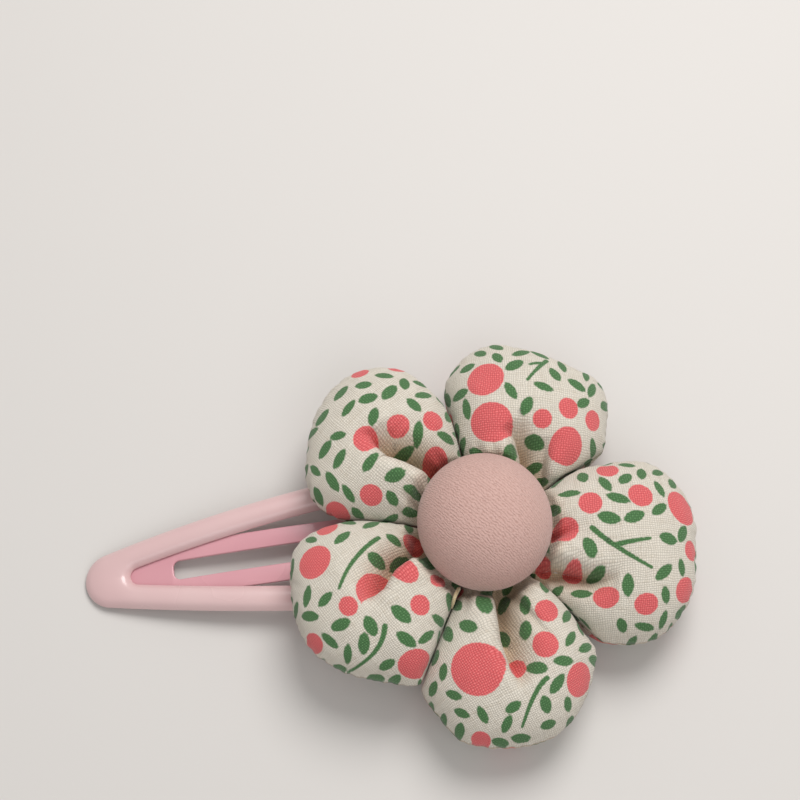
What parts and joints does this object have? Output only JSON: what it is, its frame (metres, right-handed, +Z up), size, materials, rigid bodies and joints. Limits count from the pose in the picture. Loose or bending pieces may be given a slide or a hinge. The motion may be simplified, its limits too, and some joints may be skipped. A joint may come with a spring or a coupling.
{
  "type": "flower hair clip",
  "caption": "Snap hair clip with a bowed metal frame and sprung tongue, carrying a stuffed print-cloth flower with a domed cloth-covered button at its centre.",
  "frame": {"origin": "under the middle of the whole clip, on the surface it lies on", "axes": "+X along the clip from its nose to its wide end, +Z up through the flower's button, +Y to the left of +X"},
  "size_m": [0.0836, 0.0565, 0.0199],
  "materials": {
    "clip_enamel": "glossy pale pink enamel over sheet steel",
    "tongue_enamel": "glossy pink enamel over spring steel",
    "rivet_steel": "plain steel",
    "felt": "pale pink felt",
    "glue": "set hot-melt glue",
    "petal_cloth": "cream plain-weave cloth printed with coral berries and green leaves",
    "stuffing": "white fibre stuffing",
    "thread": "cream sewing thread",
    "button_cloth": "dusty pink ribbed crepe",
    "button_metal": "plain pressed metal"
  },
  "bodies": {
    "clip": {"clip_frame": "clip_enamel", "clip_tongue_root": "tongue_enamel", "clip_rivet": "rivet_steel", "backing_felt": "felt", "glue_spots": "glue", "petal_1_cover": "petal_cloth", "petal_2_cover": "petal_cloth", "petal_3_cover": "petal_cloth", "petal_4_cover": "petal_cloth", "petal_5_cover": "petal_cloth", "petal_1_filling": "stuffing", "petal_2_filling": "stuffing", "petal_3_filling": "stuffing", "petal_4_filling": "stuffing", "petal_5_filling": "stuffing", "gathering_thread": "thread", "button_cover": "button_cloth", "button_shell": "button_metal", "button_back_plate": "button_metal", "button_shank": "rivet_steel", "button_thread": "thread"},
    "tongue": {"clip_tongue": "tongue_enamel"}
  },
  "joints": [
    {"name": "tongue_snap", "type": "hinge", "parent": "clip", "child": "tongue", "pos_m": [0.0102, 0.0034, 0.00249], "axis": [0, -1, 0], "range_deg": [0, 20]}
  ]
}
